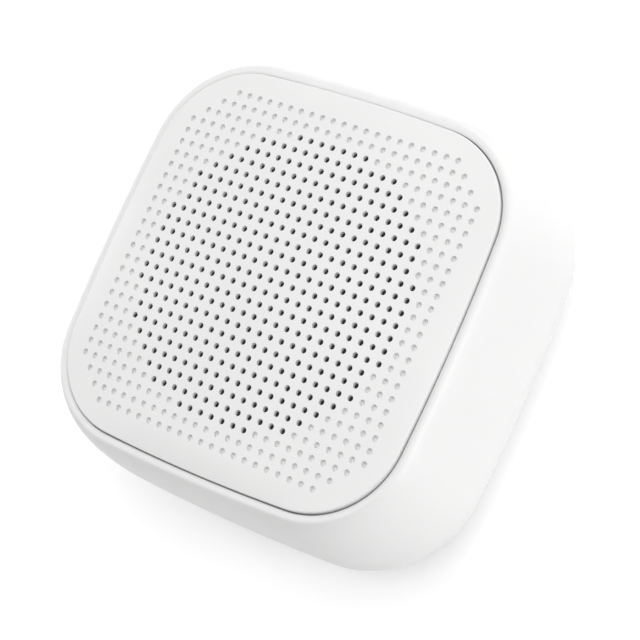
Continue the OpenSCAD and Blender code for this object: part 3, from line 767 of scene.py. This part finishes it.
def soft_foam(name, c, c2, scale, depth, rough=0.9):
    m, nt, b = principled(name, Roughness=rough)
    v = coords(nt)
    vo = nt.nodes.new("ShaderNodeTexVoronoi")
    vo.inputs["Scale"].default_value = scale
    nt.links.new(v, vo.inputs["Vector"])
    nt.links.new(tint(nt, span(nt, vo.outputs["Distance"], 0, 1, 0, 0.6), c, c2), b.inputs["Base Color"])
    bump(nt, b, vo.outputs["Distance"], 0.5, depth)
    return m


def clear(name):
    m, nt, b = principled(name, Roughness=0.18)
    b.inputs["Transmission Weight"].default_value = 0.75
    b.inputs["IOR"].default_value = 1.49
    v = coords(nt)
    nt.links.new(tint(nt, noise(nt, v, 900, 2.0), (0.86, 0.88, 0.9), (0.93, 0.94, 0.95)), b.inputs["Base Color"])
    bump(nt, b, noise(nt, v, 5000, 2.0), 0.15, 0.000002)
    return m


WHITE, WHITE2 = (0.715, 0.715, 0.712), (0.735, 0.735, 0.731)
MATS = {
    "panel_plastic": moulded("panel_plastic", WHITE, WHITE2, 0.42, grain=7000, strength=0.22),
    "body_plastic": moulded("body_plastic", WHITE, WHITE2, 0.40, grain=6500, strength=0.25),
    "key_plastic": moulded("key_plastic", (0.80, 0.80, 0.797), (0.82, 0.82, 0.816), 0.36, grain=9000, strength=0.2),
    "silicone": moulded("silicone", (0.56, 0.56, 0.555), (0.60, 0.60, 0.594), 0.62, rough_span=0.06, grain=3500, grain_depth=0.000004, strength=0.4),
    "foam": soft_foam("foam", (0.035, 0.035, 0.036), (0.012, 0.012, 0.013), 3200, 0.00006),
    "mesh_fabric": weave("mesh_fabric", (0.004, 0.004, 0.005), (0.022, 0.022, 0.024), 900, 0.8, 0.00004),
    "tape": moulded("tape", (0.70, 0.67, 0.58), (0.76, 0.73, 0.64), 0.5, grain=2500, grain_depth=0.000004),
    "steel": metal("steel", (0.60, 0.61, 0.63), (0.70, 0.71, 0.73), 0.28, (1, 8, 1)),
    "basket_metal": moulded("basket_metal", (0.022, 0.022, 0.024), (0.032, 0.032, 0.034), 0.5, grain=3000, grain_depth=0.000005, strength=0.4),
    "magnet": metal("magnet", (0.50, 0.50, 0.52), (0.62, 0.62, 0.64), 0.34),
    "paper": moulded("paper", (0.50, 0.33, 0.14), (0.58, 0.40, 0.18), 0.75, grain=2400, grain_depth=0.00001, strength=0.5),
    "copper": metal("copper", (0.62, 0.27, 0.10), (0.80, 0.38, 0.16), 0.3, (1, 1, 10), 0.00001),
    "spider_cloth": weave("spider_cloth", (0.30, 0.19, 0.04), (0.55, 0.38, 0.12), 620, 0.85, 0.00006),
    "cone_paper": moulded("cone_paper", (0.010, 0.010, 0.011), (0.020, 0.020, 0.021), 0.7, rough_span=0.08, grain=2600, grain_depth=0.00001, strength=0.5),
    "black_rubber": moulded("black_rubber", (0.012, 0.012, 0.012), (0.020, 0.020, 0.020), 0.55, grain=3600, grain_depth=0.000004, strength=0.4),
    "circuit_board": board("circuit_board"),
    "wire": moulded("wire", (0.35, 0.02, 0.015), (0.45, 0.03, 0.02), 0.38, grain=4000),
    "wire_black": moulded("wire_black", (0.015, 0.015, 0.015), (0.022, 0.022, 0.022), 0.38, grain=4000),
    "chip_black": moulded("chip_black", (0.016, 0.016, 0.017), (0.026, 0.026, 0.028), 0.55, grain=6000, grain_depth=0.000004, strength=0.4),
    "ceramic": moulded("ceramic", (0.42, 0.33, 0.22), (0.52, 0.42, 0.30), 0.45, grain=5000),
    "black_plastic": moulded("black_plastic", (0.014, 0.014, 0.015), (0.022, 0.022, 0.023), 0.42, grain=5000),
    "pouch": metal("pouch", (0.62, 0.63, 0.65), (0.72, 0.73, 0.75), 0.36, (1, 1, 1), 0.00002),
    "natural_nylon": moulded("natural_nylon", (0.72, 0.69, 0.58), (0.78, 0.75, 0.65), 0.45, grain=4000),
    "ribbon": moulded("ribbon", (0.45, 0.22, 0.03), (0.55, 0.29, 0.05), 0.35, grain=3000),
    "led_white": moulded("led_white", (0.80, 0.78, 0.66), (0.88, 0.86, 0.74), 0.3, grain=4000),
    "clear_plastic": clear("clear_plastic"),
}
MATS["panel_plastic"].node_tree.nodes["Principled BSDF"].inputs["Specular IOR Level"].default_value = 0.45


def paint(o, slot):
    o.data.materials.clear()
    o.data.materials.append(MATS[slot])


# ------------------------------------------------------------------ pieces
NODE_SLOT = {p["node"]: p["material_slot"] for p in frame["record"]["subparts"] if "node" in p}


def place(o, name, body, node, slot):
    """o stands for a CAD node, under the slot's material."""
    o.name = name
    o.data.transform(Matrix.Scale(MM, 4))
    o.data.update()
    paint(o, slot)
    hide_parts(node)
    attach(o, body)
    return o


place(build_panel(), "grille_panel", "case", "front_grille", "panel_plastic")
place(build_housing(), "housing_shell", "case", "housing", "body_plastic")
place(build_cover(), "rear_shell", "case", "rear_cover", "body_plastic")
place(build_foot(), "foot", "case", "foot_pad", "silicone")
place(build_key("power_button", -1), "power_button", "power_button", "power_key", "key_plastic")
place(build_key("voice_button", 1), "voice_button", "voice_button", "voice_key", "key_plastic")

for name, o in NODES.items():
    if o.hide_render:
        continue
    slot = NODE_SLOT.get(name, "black_plastic")
    paint(o, slot)

# two leads in one node: the second one is black
for name in ("speaker_leads", "battery_leads"):
    me = NODES[name].data
    me.materials.clear()
    me.materials.append(MATS["wire"])
    me.materials.append(MATS["wire_black"])
    bm = bmesh.new()
    bm.from_mesh(me)
    seen = {}
    for v in bm.verts:
        if v.index in seen:
            continue
        stack, group = [v], len(set(seen.values()))
        while stack:
            u = stack.pop()
            if u.index in seen:
                continue
            seen[u.index] = group
            stack += [e.other_vert(u) for e in u.link_edges]
    bm.free()
    groups = sorted(set(seen.values()))
    middle = {}
    for g in groups:
        ids = [i for i, k in seen.items() if k == g]
        middle[g] = sum(me.vertices[i].co.y - me.vertices[i].co.x for i in ids) / len(ids)
    cut = sum(middle.values()) / len(middle)
    for p in me.polygons:
        p.material_index = 0 if middle[seen[p.vertices[0]]] > cut else 1

# ------------------------------------------------------------------ floor, light, camera
floor_mat, nt, b = principled("floor_white", Roughness=0.9)
b.inputs["Base Color"].default_value = (0.86, 0.86, 0.86, 1)
b.inputs["Emission Color"].default_value = (1, 1, 1, 1)
b.inputs["Emission Strength"].default_value = 0.20
b.inputs["Specular IOR Level"].default_value = 0.1
bump(nt, b, noise(nt, coords(nt), 300, 2.0), 0.05, 0.00005)


def build_floor():
    """A floor that curves up at its far edges, like a sheet of paper."""
    verts, faces, rings, n = [], [], [], 72
    for r, z in [(0.0, 0.0), (60, 0), (150, 0), (400, 0), (900, 0), (1300, 0)] + [(1300 + 500 * math.sin(math.radians(a)), 500 * (1 - math.cos(math.radians(a)))) for a in (15, 30, 45, 60)]:
        if r == 0:
            verts.append((0, 0, 0))
            rings.append([0])
            continue
        rings.append([len(verts) + i for i in range(n)])
        verts += [(r * math.cos(2 * math.pi * i / n), r * math.sin(2 * math.pi * i / n), z) for i in range(n)]
    faces += [(0, rings[1][i], rings[1][(i + 1) % n]) for i in range(n)]
    for a, c in zip(rings[1:], rings[2:]):
        faces += [(a[i], c[i], c[(i + 1) % n], a[(i + 1) % n]) for i in range(n)]
    verts = [(x, y, z - 0.02) for x, y, z in verts]     # just clear of the foot
    o = new_object("floor", verts, faces, MM)
    o.data.materials.append(floor_mat)
    for p in o.data.polygons:
        p.use_smooth = True
    return o


floor = build_floor()


def soft_light(name, where, target, size, power, colour=(1, 1, 1)):
    d = bpy.data.lights.new(name, "AREA")
    d.shape, d.size, d.energy, d.color = "DISK", size, power, colour
    o = bpy.data.objects.new(name, d)
    o.location = where
    o.rotation_mode = "QUATERNION"
    o.rotation_quaternion = (Vector(target) - Vector(where)).to_track_quat("-Z", "Y")
    bpy.context.scene.collection.objects.link(o)
    return o


centre = (0, 0, 0.012)
soft_light("overhead", (0.1, 0.2, 1.0), centre, 1.6, 10.6)
soft_light("right", (0.8, 0, 0.3), centre, 0.5, 2.8)
soft_light("left", (-0.8, 0, 0.3), centre, 0.5, 2.15)
soft_light("back", (0, 0.8, 0.3), centre, 0.5, 1.55)

world = bpy.data.worlds.new("studio")
bpy.context.scene.world = world
world.use_nodes = True
bg = world.node_tree.nodes["Background"]
bg.inputs["Color"].default_value = (1, 1, 1, 1)
bg.inputs["Strength"].default_value = 0.228

cam = bpy.data.cameras.new("camera")
cam.lens, cam.sensor_width, cam.sensor_fit = 118.25, 36.0, "AUTO"
cam.clip_start, cam.clip_end = 0.01, 20
camera = bpy.data.objects.new("camera", cam)
right, up, back = Vector((0.81115, 0.40604, -0.42091)), Vector((-0.29934, 0.90653, 0.29765)), Vector((0.50243, -0.11544, 0.85688))
m = Matrix((right, up, back)).transposed().to_4x4()
m.translation = Vector((0.12803, -0.02988, 0.22875))
camera.matrix_world = m
bpy.context.scene.collection.objects.link(camera)
bpy.context.scene.camera = camera
bpy.context.scene.view_settings.view_transform = "Standard"
